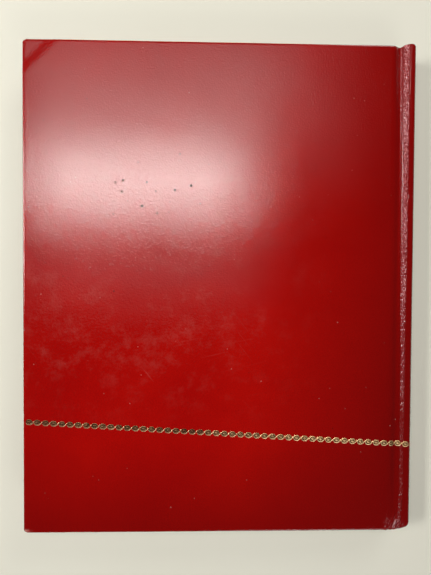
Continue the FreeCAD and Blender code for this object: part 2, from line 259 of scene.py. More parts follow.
def red_tone_with_painted_shade(mat, flat, at):
    """Cloudy red with painted shade: darker toward the spine and the three edges, where less light falls."""
    clouds = grain(mat, flat, 14.0, 4.0, 0.6)
    tone = ramp(mat, clouds, [(0.3, (0.292, 0.0007, 0.0002)), (0.7, (0.357, 0.0018, 0.0004))])
    # Painted light: full red on the lit middle of the cover, fading to painted shade toward the spine, tail,
    # head and fore-edge
    slant = plus(mat, at["X"], times(mat, at["Y"], -0.15))
    painted_light = times(mat, spread(mat, slant, 0.125, 0.03),
                spread(mat, at["Y"], -0.155, -0.095, 0.22, 1.0),
                spread(mat, at["Y"], 0.13, 0.02, 0.72, 1.0),
                spread(mat, at["X"], -0.123, -0.085, 0.75, 1.0))
    return blend_color(mat, painted_light, PAINTED_SHADE_RED, tone)


def leatherette():
    """Glossy red leatherette: fine grain, cloudy polish, scuffs, scratches, specks, rubbed edges and creases,
    with painted shade toward the spine and edges, painted shade in small pits, and a painted highlight on the
    joint's folds.
    """
    mat, shader = new_material("red_leatherette", (0.26, 0.002, 0.001), 0.24)
    flat = place(mat)
    at = add(mat, "ShaderNodeSeparateXYZ", Vector=flat).outputs
    crinkle = attribute(mat, "crinkle")
    middle = times(mat, spread(mat, at["X"], 0.07, -0.01), between(mat, at["Y"], -0.09, -0.04, 0.03, 0.07))
    scuff = times(mat, spread(mat, grain(mat, flat, 70.0, 7.0, 0.78), 0.50, 0.68), middle)
    scratch = arithmetic(mat, "MAXIMUM", scratches(mat, 0.9, 26.0, 0.69), scratches(mat, -0.2, 13.0, 0.69))
    scratch = times(mat, scratch, middle, spread(mat, at["X"], 0.03, -0.03))
    # Small real pits by the highlight, painted dark red: painted shade where the pits do not mirror the light
    nicks_with_painted_shade = times(mat, specks(mat, 140.0, 0.14, 0.44),
                  between(mat, at["X"], -0.075, -0.06, -0.015, 0.0),
                  between(mat, at["Y"], 0.04, 0.05, 0.08, 0.09))
    loose = warped(mat, place(mat, (1.0, 0.55, 1.0)), 700.0, 0.0012)
    folds = add(mat, "ShaderNodeTexVoronoi", Vector=loose, Scale=1050.0).outputs["Distance"]
    # Painted highlight: pale pink on the folds of the loose skin at the joint, stronger toward the head,
    # where the light catches them
    painted_crease_highlight = times(mat, spread(mat, folds, 0.35, 0.7), crinkle, spread(mat, at["Y"], -0.11, 0.05, 0.05, 0.32))
    worn = times(mat, attribute(mat, "rub"), spread(mat, grain(mat, flat, 420.0, 3.0), 0.45, 0.7))
    tone = layered(mat, red_tone_with_painted_shade(mat, flat, at), [
        (times(mat, scuff, 0.09), SCUFFED_RED),
        (times(mat, scratch, 0.16), SCRATCHED_RED),
        (times(mat, specks(mat, 210.0, 0.10, 0.60), 0.3), PALE_SPECK),
        (times(mat, specks(mat, 120.0, 0.07, 0.62), 0.8), DARK_SPECK),
        (nicks_with_painted_shade, PIT_SHADE_RED),
        (painted_crease_highlight, CREASE_HIGHLIGHT_RED),
        (worn, RUBBED_RED)])
    feed(mat, tone, shader, "Base Color")
    polish = plus(mat, spread(mat, grain(mat, flat, 30.0, 6.0, 0.75), 0.3, 0.7, 0.075, 0.12),
                  times(mat, scuff, 0.05), times(mat, nicks_with_painted_shade, 0.6), times(mat, crinkle, -0.04))
    feed(mat, polish, shader, "Roughness")
    gloss = plus(mat, spread(mat, nicks_with_painted_shade, 0.0, 0.6, 0.55, 0.0), times(mat, crinkle, 0.45))
    feed(mat, gloss, shader, "Specular IOR Level")
    tint = blend_color(mat, crinkle, (1.0, 0.99, 0.95), (1.0, 0.72, 0.72))
    feed(mat, tint, shader, "Specular Tint")
    pores = add(mat, "ShaderNodeTexVoronoi", Vector=flat, Scale=2600.0).outputs["Distance"]
    bump(mat, shader, pores, 0.15, 0.00008)
    bump(mat, shader, grain(mat, flat, 950.0, 2.0, 0.6), 0.9, 0.0001)
    bump(mat, shader, times(mat, folds, crinkle), 1.0, 0.0006)
    return mat


# PAINTED_DARK_REFLECTION is a painted reflection of the dark room in the foil
PAINTED_DARK_REFLECTION = (0.055, 0.032, 0.012)
# RIM_HIGHLIGHT is a painted highlight on the lower rims of the links
RIM_HIGHLIGHT = (1.0, 0.75, 0.42)
SUNK_FOIL = (0.16, 0.05, 0.02)
FLAKED_FOIL = (0.16, 0.03, 0.01)


def gold_foil():
    """Stamped gold foil: painted highlight on the lower rims, darker sunk middles, painted dark reflection
    toward the fore-edge.
    """
    mat, shader = new_material("gold_foil", (0.70, 0.45, 0.20), 0.4, 0.85)
    flat = place(mat)
    along = add(mat, "ShaderNodeSeparateXYZ", Vector=flat).outputs["X"]
    patches = spread(mat, grain(mat, flat, 60.0, 2.0), 0.35, 0.6, 0.78, 1.0)
    flaked = spread(mat, grain(mat, flat, 900.0, 2.0), 0.64, 0.72)
    tone = ramp(mat, grain(mat, flat, 260.0, 3.0), [(0.3, (0.72, 0.46, 0.19)), (0.7, (0.92, 0.66, 0.34))])
    tone = layered(mat, tone, [
        # Painted reflection: links toward the fore-edge darkened, as the foil there mirrors the dark room
        (times(mat, spread(mat, along, 0.07, -0.02), patches), PAINTED_DARK_REFLECTION),
        # Painted highlight on the lower rims of the links
        (times(mat, attribute(mat, "rim"), 0.9), RIM_HIGHLIGHT),
        (times(mat, attribute(mat, "sunk"), 0.85), SUNK_FOIL),
        (times(mat, flaked, 0.5), FLAKED_FOIL)])
    feed(mat, tone, shader, "Base Color")
    feed(mat, spread(mat, grain(mat, flat, 500.0), 0.3, 0.7, 0.32, 0.5), shader, "Roughness")
    bump(mat, shader, grain(mat, flat, 1500.0), 0.3, 0.00005)
    return mat


def paper(name, light, dark, fibre, roughness=0.85):
    """Paper or board with soft blotches, fibres and a little tooth."""
    mat, shader = new_material(name, light, roughness)
    flat = place(mat)
    tone = ramp(mat, grain(mat, flat, fibre, 4.0, 0.65), [(0.32, dark), (0.68, light)])
    hair = grain(mat, place(mat, (1.0, 9.0, 1.0)), 300.0, 2.0)
    tone = blend_color(mat, spread(mat, hair, 0.68, 0.74, 0.0, 0.35), tone, dark)
    feed(mat, tone, shader, "Base Color")
    bump(mat, shader, grain(mat, flat, 1800.0, 3.0), 0.25, 0.00008)
    return mat


def woven(name, light, dark):
    """Plain weave bookbinding cloth."""
    mat, shader = new_material(name, light, 0.8)
    warp = add(mat, "ShaderNodeTexWave", Vector=place(mat), Scale=620.0, Distortion=0.6, Detail=1.0)
    weft = add(mat, "ShaderNodeTexWave", Vector=place(mat), Scale=620.0, Distortion=0.6, Detail=1.0)
    warp.bands_direction = "X"
    weft.bands_direction = "Y"
    weave = times(mat, warp.outputs["Fac"], weft.outputs["Fac"])
    tone = ramp(mat, weave, [(0.1, dark), (0.8, light)])
    feed(mat, tone, shader, "Base Color")
    bump(mat, shader, weave, 0.5, 0.00012)
    shader.inputs["Sheen Weight"].default_value = 0.15
    return mat


def clear_film():
    """Clear pocket film with faint streaks."""
    mat, shader = new_material("clear_film", (0.75, 0.78, 0.8), 0.12)
    streak = grain(mat, place(mat, (1.0, 7.0, 1.0)), 60.0, 3.0)
    feed(mat, spread(mat, streak, 0.35, 0.7, 0.06, 0.2), shader, "Roughness")
    feed(mat, spread(mat, streak, 0.3, 0.75, 0.10, 0.20), shader, "Alpha")
    return mat


def glassine():
    """Translucent glassine with cloudy fibres."""
    mat, shader = new_material("glassine", (0.83, 0.80, 0.70), 0.42)
    flat = place(mat)
    cloud = grain(mat, flat, 120.0, 5.0, 0.7)
    feed(mat, ramp(mat, cloud, [(0.3, (0.74, 0.71, 0.60)), (0.7, (0.88, 0.86, 0.77))]), shader, "Base Color")
    feed(mat, spread(mat, cloud, 0.3, 0.7, 0.5, 0.68), shader, "Alpha")
    bump(mat, shader, grain(mat, flat, 700.0), 0.15, 0.0001)
    return mat


def steel_wire():
    """Drawn staple wire with lengthwise marks."""
    mat, shader = new_material("steel_wire", (0.55, 0.56, 0.58), 0.3, 1.0)
    marks = grain(mat, place(mat, (8.0, 1.0, 8.0)), 400.0, 3.0)
    feed(mat, ramp(mat, marks, [(0.3, (0.42, 0.43, 0.45)), (0.7, (0.66, 0.67, 0.69))]), shader, "Base Color")
    feed(mat, spread(mat, marks, 0.3, 0.7, 0.22, 0.42), shader, "Roughness")
    return mat


RED = leatherette()
GOLD = gold_foil()
GREY_BOARD = paper("grey_board", (0.36, 0.33, 0.28), (0.25, 0.23, 0.19), 240.0)
ENDPAPER = paper("endpaper", (0.86, 0.82, 0.73), (0.79, 0.74, 0.63), 35.0)
BLACK_CARD = paper("black_card", (0.014, 0.014, 0.015), (0.008, 0.008, 0.009), 90.0, 0.7)
BLACK_CLOTH = woven("black_cloth", (0.030, 0.029, 0.031), (0.008, 0.008, 0.009))
MULL = woven("mull", (0.62, 0.58, 0.49), (0.40, 0.37, 0.30))
FILM = clear_film()
GLASSINE = glassine()
STEEL = steel_wire()


def piece(name, points, faces, material):
    """Mesh object from points in millimetres."""
    mesh = bpy.data.meshes.new(name)
    mesh.from_pydata([(x * MM, y * MM, z * MM) for x, y, z in points], [], faces)
    mesh.update()
    for polygon in mesh.polygons:
        polygon.use_smooth = True
    obj = bpy.data.objects.new(name, mesh)
    bpy.context.scene.collection.objects.link(obj)
    mesh.materials.append(material)
    return obj


def mark_points(obj, marks):
    """Store named values on a mesh's points for its material."""
    for title, values in marks.items():
        layer = obj.data.attributes.new(title, "FLOAT", "POINT")
        layer.data.foreach_set("value", values)


def grid_faces(wide, tall):
    """Faces over a grid of points that is stored column by column."""
    return [(i * tall + j, (i + 1) * tall + j, (i + 1) * tall + j + 1, i * tall + j + 1)
            for i in range(wide - 1) for j in range(tall - 1)]


def tube_faces(rows, count, reverse=False):
    """Faces of a tube with closed ends, made of rows of points round a loop."""
    faces = []
    for r in range(rows):
        for i in range(count):
            n = (i + 1) % count
            a, b, c, d = r * count + i, (r + 1) * count + i, (r + 1) * count + n, r * count + n
            faces.append((a, d, c, b) if reverse else (a, b, c, d))
    first = tuple(range(count))
    last = tuple(range(rows * count, (rows + 1) * count))
    return faces + ([first[::-1], last] if reverse else [first, last[::-1]])


# Section of the case from the fore-edge over the board, groove and shoulder to mid-spine


EDGE_OUT = 1.2
RINGS = 9
LIP_START = -3.5
LIP_INSET = 1.2
LIP_RADIUS = 6.0
VALLEY_PAST = 2.5
VALLEY_RISE = 0.05
VALLEY_RADIUS = 1.2
FOOT_PAST = 4.7
FOOT_RISE = 0.5
FOOT_RADIUS = 2.0
KNEE_PAST = 5.4
CROWN_PAST = 10.0
CROWN_INSET = 0.1
HUMP_STEPS = 24
HUMP_FROM = 4
CROWN = (X_HINGE + CROWN_REACH, ALBUM - CROWN_DROP - SHOULDER_RADIUS)
BACK_DEPTH = SPINE_REACH - CROWN_REACH
BACK_RISE = CROWN[1] - MID_Z
BACK_SQUARES = BACK_DEPTH ** 2 + BACK_RISE ** 2 - SHOULDER_RADIUS ** 2
BACK_RADIUS = BACK_SQUARES / (2 * (BACK_DEPTH - SHOULDER_RADIUS))
BACK_X = X_HINGE + SPINE_REACH - BACK_RADIUS
BACK_ANGLE = math.atan2(BACK_RISE, CROWN[0] - BACK_X)


def arc(center, radius, start, end, steps):
    """Points round an arc."""
    turn = [start + (end - start) * i / steps for i in range(steps + 1)]
    return [(center[0] + radius * math.cos(a), center[1] + radius * math.sin(a)) for a in turn]


def rounded(before, corner, after, radius, steps=10):
    """Points of an arc that rounds one corner of a line."""
    p, a, b = Vector(corner), Vector(before), Vector(after)
    u, v = (a - p).normalized(), (b - p).normalized()
    half = u.angle(v) / 2
    reach = radius / math.tan(half)
    mid = p + (u + v).normalized() * (radius / math.sin(half))
    t0, t1 = p + u * reach, p + v * reach
    r0, r1 = t0 - mid, t1 - mid
    total = r0.angle_signed(r1)
    points = []
    for i in range(steps + 1):
        spin = -total * i / steps
        c, s = math.cos(spin), math.sin(spin)
        points.append((mid.x + c * r0.x - s * r0.y, mid.y + s * r0.x + c * r0.y))
    return points


def case_section():
    """Outer line of the case in X and Z, in order from the fore-edge.

    The spine's shoulder is a hump, whose first points make way for the rounded foot.
    """
    start = (X_FORE + EDGE_OUT, ALBUM)
    lip = (X_BOARD - LIP_INSET, ALBUM)
    valley = (X_BOARD + VALLEY_PAST, Z_GROOVE + VALLEY_RISE)
    foot = (X_BOARD + FOOT_PAST, Z_GROOVE + FOOT_RISE)
    crown = (CROWN[0] - CROWN_INSET, CROWN[1] + SHOULDER_RADIUS)
    radius = ((crown[0] - foot[0]) ** 2 + (crown[1] - foot[1]) ** 2) / (2 * (crown[1] - foot[1]))
    middle = (crown[0], crown[1] - radius)
    reach = math.atan2(foot[1] - middle[1], foot[0] - middle[0])
    hump = arc(middle, radius, reach, math.pi / 2, HUMP_STEPS)
    line = [start]
    line += rounded(start, lip, valley, LIP_RADIUS, 14)
    line += rounded(lip, valley, foot, VALLEY_RADIUS)
    line += rounded(valley, foot, hump[HUMP_FROM], FOOT_RADIUS)
    line += hump[HUMP_FROM:]
    line += arc(CROWN, SHOULDER_RADIUS, math.pi / 2, BACK_ANGLE, 16)
    line += arc((BACK_X, MID_Z), BACK_RADIUS, BACK_ANGLE, 0.0, 24)[1:]
    return line


SECTION = case_section()
LENGTHS = [0.0]
for (xa, za), (xb, zb) in zip(SECTION, SECTION[1:]):
    LENGTHS.append(LENGTHS[-1] + math.hypot(xb - xa, zb - za))
S_END = LENGTHS[-1]


def on_section(s):
    """Point and outward normal at a length along the section."""
    s = min(max(s, 0.0), S_END)
    i = 0
    while i < len(LENGTHS) - 2 and LENGTHS[i + 1] < s:
        i += 1
    t = (s - LENGTHS[i]) / max(LENGTHS[i + 1] - LENGTHS[i], 1e-9)
    (xa, za), (xb, zb) = SECTION[i], SECTION[i + 1]
    dx, dz = xb - xa, zb - za
    length = math.hypot(dx, dz)
    return xa + t * dx, za + t * dz, -dz / length, dx / length


def length_at(past_board):
    """Length along the section at a distance past the board's edge, up to the crown."""
    x = X_BOARD + past_board
    for i, ((xa, _), (xb, _)) in enumerate(zip(SECTION, SECTION[1:])):
        if xa <= x <= xb:
            return LENGTHS[i] + (LENGTHS[i + 1] - LENGTHS[i]) * (x - xa) / max(xb - xa, 1e-9)
    return S_END


S_LIP = length_at(LIP_START)
S_VALLEY = length_at(VALLEY_PAST)
S_KNEE = length_at(KNEE_PAST)
S_CROWN = length_at(CROWN_PAST)

# Creases along the joint: distance past the board's edge, height and half width
CREASE_SHAPES = [(3.9, 0.10, 0.30), (4.8, -0.10, 0.30), (5.7, 0.13, 0.32), (6.4, -0.12, 0.28),
                 (7.1, 0.14, 0.32), (7.8, -0.12, 0.28), (8.5, 0.10, 0.34)]
CREASES = [(length_at(past), tall, wide) for past, tall, wide in CREASE_SHAPES]
SWEPT_CREASES = 4
BACK_SEED = 1.0
FRONT_SEED = 21.0


def slack(s, y, seed):
    """How loose the skin is: a streak in the groove near the head and a band up the spine's shoulder."""
    above_tail = y - Y_TAIL
    shift = 0.35 * wander(y / 30.0, 2.0, seed) - 1.6 * smooth(26.0, 0.0, above_tail)
    at = s - shift
    low = smooth(30.0, -45.0, y)
    upper = smooth(Y_HEAD - 62.0, Y_HEAD - 40.0, y)
    past_valley = at - S_VALLEY
    streak = smooth(0.7, 1.0, past_valley) * (1 - smooth(1.4, 1.8, past_valley))
    start = S_KNEE - 0.9 + 0.5 * low
    end = S_KNEE + 3.4 - 0.4 * low
    band = smooth(start, start + 0.5, at) * (1 - smooth(end - 0.8, end, at))
    on_joint = smooth(S_LIP - 3.0, S_LIP + 1.0, s) * smooth(S_CROWN, S_CROWN - 2.5, s)
    gathered = smooth(13.0, 3.0, above_tail) * on_joint
    patchy = 1.0 + 0.5 * wander(y / 19.0, 5.0, seed)
    return (0.8 * upper * streak + band) * (1.0 - 0.35 * low) * patchy + 0.4 * gathered


def cell_ridge(s, y, seed):
    """Net of fine ridges between uneven cells."""
    spot = Vector((s / 1.15 + 0.5 * wander(s / 2.0, y / 3.0, seed), y / 2.1, seed))
    near = noise.voronoi(spot)[0]
    return 1.0 - smooth(0.0, 0.42, near[1] - near[0])


def ripple(s, y, seed):
    """Height of the skin's unevenness: slack creases along the joint, faint waves on the board."""
    height = 0.09 * wander(s / 58.0, y / 58.0, seed) + 0.05 * wander(s / 23.0, y / 23.0, seed + 3.0)
    if s <= S_LIP - 8.0:
        return height
    above_tail = y - Y_TAIL
    near_end = max(smooth(26.0, 0.0, Y_HEAD - y), smooth(40.0, 0.0, above_tail))
    sweep = 9.0 * math.exp(-above_tail / 3.5) + 1.5 * smooth(30.0, 0.0, above_tail)
    tail = smooth(16.0, 4.0, above_tail)
    for i, (at, tall, wide) in enumerate(CREASES):
        drift = 0.5 * wander(y / 23.0, 1.0, seed) + sweep * (1.0 - 0.11 * i)
        center = at - drift + 0.4 * wander(y / 9.0, i * 5.1, seed) + 0.25 * wander(y / 3.1, i * 2.3, seed)
        swell = 0.08 + 0.7 * abs(wander(y / 15.0, i * 9.3, seed + 4.0))
        swell += 0.9 * abs(wander(y / 4.3, i * 7.7, seed))
        gather = 1.0 + 0.7 * near_end + tail * (3.2 if i < SWEPT_CREASES else 0.6)
        width = wide * (1.0 + 1.1 * tail)
        height += tall * (swell + 0.3 * tail) * gather * math.exp(-((s - center) / width) ** 2)
    loose = slack(s, y, seed)
    height += loose * 0.17 * (cell_ridge(s, y, seed) - 0.3)
    return height + loose * (0.05 + 0.08 * near_end) * wander(s / 1.7, y / 4.0, seed + 8.0)


def head_edge(s):
    """Y of the head edge along the section, risen over the spine."""
    rise = SPINE_HEAD_RISE * smooth(S_VALLEY, S_KNEE + 1.2, s)
    return Y_HEAD + rise - 1.1 * smooth(S_CROWN, S_CROWN + 3.6, s)


def tail_edge(s):
    """Y of the tail edge along the section, rounded off toward the back of the spine."""
    drawn_in = 0.5 * smooth(S_VALLEY - 2.0, S_KNEE + 0.6, s)
    worn = 1.3 * smooth(S_KNEE, S_CROWN + 0.5, s) + 3.2 * smooth(S_CROWN - 0.5, S_CROWN + 4.5, s)
    return Y_TAIL + drawn_in + worn


def groove_fill(s, z, y):
    """How far the slack skin stands above the groove: little at the head, most at the tail."""
    if s < S_LIP or s > S_CROWN:
        return 0.0
    bridge = ALBUM - CROWN_DROP * (s - S_LIP) / (S_CROWN - S_LIP)
    share = 0.55 * smooth(Y_HEAD, Y_HEAD - 60.0, y) + 0.30 * smooth(Y_TAIL + 45.0, Y_TAIL, y)
    return max(0.0, bridge - z) * share


CORNER_DIP = 0.35


def skin_point(s, y, seed, lift=0.0):
    """Point of the upper skin, with the bent corner at the head of the back cover's fore-edge."""
    x, z, nx, nz = on_section(s)
    out = ripple(s, y, seed) + lift
    from_corner = (x - X_FORE) + (Y_HEAD - y)
    dip = CORNER_DIP * smooth(23.0, 13.5, from_corner) if seed == BACK_SEED else 0.0
    return x + nx * out, y, z + groove_fill(s, z, y) + nz * out - dip


def flip(points, side):
    """Mirror points into the lower half for the front cover."""
    if side > 0:
        return points
    return [(x, y, ALBUM - z) for x, y, z in points]


FORE_COLUMNS = [0.0, 1.3, 3.0, 5.0, 7.0, 9.0, 11.5, 14.0, 16.5, 19.0, 21.5, 24.0]
BOARD_STEP = 4.5
JOINT_STEP = 0.3
BACK_STEP = 0.6
TAIL_STEP = 0.45
TAIL_ROWS = 32
MIDDLE_ROWS = 250
HEAD_ROWS = [0.0, 0.7, 1.5, 2.5, 3.6, 4.8, 6.2, 7.6]


def columns():
    """Lengths along the section where the skin has points, closest over the joint."""
    fine_from = S_LIP - 5.0
    fine_to = S_CROWN + 3.0
    out = list(FORE_COLUMNS)
    while out[-1] < fine_from - 6.0:
        out.append(out[-1] + BOARD_STEP)
    fine = int((fine_to - fine_from) / JOINT_STEP)
    out += [fine_from + (fine_to - fine_from) * i / fine for i in range(fine)]
    coarse = int((S_END - fine_to) / BACK_STEP)
    out += [fine_to + (S_END - fine_to) * i / coarse for i in range(coarse + 1)]
    return out


def row_shares():
    """Shares of the height where the skin has points, closest at the tail."""
    height = COVER_HEIGHT - 2 * EDGE_OUT
    tail = [TAIL_STEP * i for i in range(TAIL_ROWS)]
    first = tail[-1] + 0.8
    last = height - 9.0
    middle = [first + (last - first) * i / MIDDLE_ROWS for i in range(MIDDLE_ROWS + 1)]
    return [v / height for v in tail + middle + [height - v for v in reversed(HEAD_ROWS)]]


CORNER_PULL = 0.4
DIAGONAL = 0.7071


def tail_corner_rub(x, y):
    """Wear of the corner where the fore-edge meets the tail."""
    return 0.9 * smooth(6.0, 2.0, math.hypot(x - X_FORE, 2.4 * (y - Y_TAIL - 0.8)))


def build_skin(name, side, seed):
    """One half of the covering: face, rolled edges and turn-ins, from fore-edge to mid-spine."""
    cols = columns()
    shares = row_shares()
    wide, tall = len(cols), len(shares)
    points = []
    rub = []
    crinkle = []
    for i, s in enumerate(cols):
        low, high = tail_edge(s) + edge_out(s), head_edge(s) - edge_out(s)
        for j, share in enumerate(shares):
            y = low + (high - low) * share
            x, y, z = skin_point(s, y, seed)
            if i == 0 and j in (0, tall - 1):
                x += CORNER_PULL
                y += CORNER_PULL if j == 0 else -CORNER_PULL
            points.append((x, y, z))
            rub.append(tail_corner_rub(x, y))
            crinkle.append(slack(s, y, seed))
    faces = grid_faces(wide, tall)
    rim = [(i, 0, 0.0, -1.0) for i in range(wide - 1, 0, -1)]
    rim.append((0, 0, -DIAGONAL, -DIAGONAL))
    rim += [(0, j, -1.0, 0.0) for j in range(1, tall - 1)]
    rim.append((0, tall - 1, -DIAGONAL, DIAGONAL))
    rim += [(i, tall - 1, 0.0, 1.0) for i in range(1, wide)]
    previous = [i * tall + j for i, j, _, _ in rim]
    for ring in range(1, RINGS + TURN_IN_ROWS + 1):
        current = []
        for i, j, gx, gy in rim:
            base = points[i * tall + j]
            points.append(rolled(base, cols[i], gx, gy, ring))
            patchy = 0.35 * max(0.0, wander(base[1] / 9.0, base[0] / 9.0, seed + 2.0))
            worn = 1.0 if gx and gy else patchy
            rub.append(worn if ring <= RINGS else 0.0)
            crinkle.append(slack(cols[i], base[1], seed))
            current.append(len(points) - 1)
        for k in range(len(rim) - 1):
            faces.append((previous[k], previous[k + 1], current[k + 1], current[k]))
        previous = current
    if side < 0:
        faces = [tuple(reversed(f)) for f in faces]
    obj = piece(name, flip(points, side), faces, RED)
    mark_points(obj, {"rub": rub, "crinkle": crinkle})
    return obj


CASE_WALL = 1.55
TURN_IN = 9.0
TURN_IN_ROWS = 2


def inner_point(x, z, s):
    """Inner side of the case behind a point of its outer side."""
    _, _, nx, nz = on_section(s)
    spine = smooth(S_KNEE, S_CROWN - 1.5, s)
    return x - nx * CASE_WALL * spine, Z_INNER + (z - nz * CASE_WALL - Z_INNER) * spine


def edge_out(s):
    """How far the rolled edge stands out past the last row."""
    x, z, _, _ = on_section(s)
    qx, qz = inner_point(x, z, s)
    return min(EDGE_OUT, 0.5 * math.hypot(x - qx, z - qz))


def rolled(base, s, gx, gy, ring):
    """Point of the rolled edge, or of the turn-in behind it."""
    qx, qz = inner_point(base[0], base[2], s)
    if ring <= RINGS:
        angle = math.pi * ring / RINGS
        square = 0.5 + 0.3 * smooth(S_LIP, S_VALLEY, s)
        across = math.copysign(abs(math.cos(angle)) ** square, math.cos(angle))
        out = edge_out(s) * abs(math.sin(angle)) ** square
        mx, mz = (base[0] + qx) / 2, (base[2] + qz) / 2
        x = mx + (base[0] - qx) / 2 * across + gx * out
        z = mz + (base[2] - qz) / 2 * across
        return (x, base[1] + gy * out, z)
    depth = TURN_IN * (ring - RINGS) / TURN_IN_ROWS
    if gy and not gx:
        depth = min(depth, max(0.5, base[0] - X_FORE - 0.5))
    elif gx and not gy:
        depth = min(depth, max(0.5, min(base[1] - Y_TAIL, Y_HEAD - base[1]) - 0.5))
    else:
        depth = min(depth, 0.6)
    return (qx - gx * depth, base[1] - gy * depth, qz)


def across_hinge(obj):
    """Bake a piece's placement into its points."""
    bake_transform(obj)


back_skin = build_skin("back_skin", 1, BACK_SEED)
across_hinge(back_skin)
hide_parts("back_covering", "spine_covering")
front_skin = build_skin("front_skin", -1, FRONT_SEED)
across_hinge(front_skin)
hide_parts("front_covering")


CARD_OUTER = BACK_RADIUS - 1.05
CARD_INNER = BACK_RADIUS - 2.05
CARD_INSET = 0.9


def build_spine_card():
    """Card strip behind the skin of the spine, cut a little shorter than the skin."""
    steps = 20
    points = []
    for i in range(steps + 1):
        angle = SPINE_CARD_SHARE * BACK_ANGLE * (1 - 2 * i / steps)
        s = S_END - abs(angle) * BACK_RADIUS
        tail = tail_edge(s) + CARD_INSET
        head = head_edge(s) - CARD_INSET
        for radius, y in ((CARD_OUTER, tail), (CARD_OUTER, head), (CARD_INNER, head), (CARD_INNER, tail)):
            points.append((BACK_X + radius * math.cos(angle), y, MID_Z + radius * math.sin(angle)))
    faces = tube_faces(steps, 4, reverse=True)
    obj = piece("spine_card_strip", points, faces, GREY_BOARD)
    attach(obj, "spine")
    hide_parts("spine_card")


build_spine_card()


# Gold chain pressed into the skin


CHAIN_PITCH = 5.05
LINK_LONG = 4.4
LINK_TALL = 3.5
RIM_WIDE = 0.5
BAR_LONG = 1.7
BAR_TALL = 0.8
FOIL_LIFT = 0.07
FOIL_ROOT = -0.03
FOIL_SUNK = 0.02
BEVEL = 0.2
LINK_POINTS = 16
FIRST_LINK = 2.4


def hexagon_ring(long, tall, count):
    """Points round a hexagon with soft corners."""
    out = []
    for i in range(count):
        a = 2 * math.pi * (i + 0.5) / count
        c, s = math.cos(a), math.sin(a)
        flat = 1.0 / max(abs(s), abs(s) * 0.42 + abs(c))
        reach = 0.75 * min(flat, 1.25) + 0.25
        out.append((0.5 * long * c * reach, 0.5 * tall * s * reach))
    return out


def link_shape():
    """One link and the slanted bar to the next, as points with heights, marks for the sunk middles and for
    the painted highlight on the lower rims, and faces.
    """
    count = LINK_POINTS
    hole_long, hole_tall = LINK_LONG - 2 * RIM_WIDE, LINK_TALL - 2 * RIM_WIDE
    loops = [(LINK_LONG, LINK_TALL, FOIL_ROOT, 0.0), (LINK_LONG - BEVEL, LINK_TALL - BEVEL, FOIL_LIFT, 0.0),
             (hole_long, hole_tall, FOIL_LIFT, 0.0), (hole_long - BEVEL, hole_tall - BEVEL, FOIL_SUNK, 1.0),
             (BAR_LONG + BEVEL, BAR_TALL + BEVEL, FOIL_SUNK, 1.0), (BAR_LONG, BAR_TALL, FOIL_LIFT, 0.0)]
    points = []
    for k, (long, tall, height, sunk) in enumerate(loops):
        for a, b in hexagon_ring(long, tall, count):
            # rim marks the lower edge of the outer ring, and at half strength the bar, for a painted
            # highlight
            rim = 1.0 if k < 2 and b < -0.6 else 0.0
            points.append((a, b, height, sunk, rim))
    faces = []
    for k in range(len(loops) - 1):
        for i in range(count):
            n = (i + 1) % count
            faces.append((k * count + i, k * count + n, (k + 1) * count + n, (k + 1) * count + i))
    faces.append(tuple((len(loops) - 1) * count + i for i in range(count)))
    first = len(points)
    mid = CHAIN_PITCH / 2
    bar = [(mid - 0.75, -0.95), (mid - 0.40, -1.05), (mid + 0.75, 0.95), (mid + 0.40, 1.05)]
    top = [(a * 0.8 + mid * 0.2, b * 0.8) for a, b in bar]
    points += [(a, b, FOIL_ROOT, 0.0, 0.5) for a, b in bar]
    points += [(a, b, FOIL_LIFT * 0.8, 0.0, 0.5) for a, b in top]
    for i in range(4):
        n = (i + 1) % 4
        faces.append((first + i, first + n, first + 4 + n, first + 4 + i))
    faces.append((first + 4, first + 5, first + 6, first + 7))
    return points, faces


def build_chain(name, side, seed, y_start, slope):
    """Links along one straight line on the unrolled skin, the last one half a pitch before mid-spine."""
    shape, link_faces = link_shape()
    angle = math.atan(slope)
    c, s_turn = math.cos(angle), math.sin(angle)
    count = round((S_END - FIRST_LINK) / (CHAIN_PITCH * c) + 0.5)
    pitch = (S_END - FIRST_LINK) / (count - 0.5)
    points = []
    faces = []
    # rim carries the painted highlight on the lower rims
    marks = {"sunk": [], "rim": []}
    for k in range(count):
        s0 = FIRST_LINK + k * pitch
        y0 = y_start + slope * (s0 + EDGE_OUT)
        first = len(points)
        for a, b, height, sunk, rim in shape:
            s = s0 + a * c - b * s_turn
            y = y0 + a * s_turn + b * c
            points.append(skin_point(s, y, seed, height))
            marks["sunk"].append(sunk)
            marks["rim"].append(rim)
        faces += [tuple(first + v for v in face) for face in link_faces]
    if side < 0:
        faces = [tuple(reversed(f)) for f in faces]
    obj = piece(name, flip(points, side), faces, GOLD)
    mark_points(obj, marks)
    return obj


back_gold = build_chain("back_gold_chain", 1, BACK_SEED, Y_CHAIN_FORE, CHAIN_SLOPE)
across_hinge(back_gold)
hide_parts("back_chain", "spine_chain")
y_front = Y_CHAIN_FORE + CHAIN_SLOPE * (2 * S_END + 2 * EDGE_OUT)
front_gold = build_chain("front_gold_chain", -1, FRONT_SEED, y_front, -CHAIN_SLOPE)
across_hinge(front_gold)
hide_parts("front_chain")


# Cloth hinges, lining and glassine


HINGE_PLAY = 0.3
Y_LEAF_TAIL = Y_TAIL + LEAF_SQUARE
Y_LEAF_HEAD = Y_HEAD - LEAF_SQUARE
X_STUB_HINGE = X_HINGE - STUB_FRONT
X_CARD_HINGE = X_STUB_HINGE - LINEN_WIDTH
X_STUB_FRONT = X_STUB_HINGE + HINGE_PLAY
X_CARD_EDGE = X_CARD_HINGE - HINGE_PLAY
X_LEAF_FORE = X_FORE + LEAF_SQUARE
X_STUB_BACK = X_HINGE + STUB_BACK


def leaf_z(number):
    """Height of the middle of a leaf."""
    return COVER_THICKNESS + LINING + LEAF_PITCH * (number - 0.5)


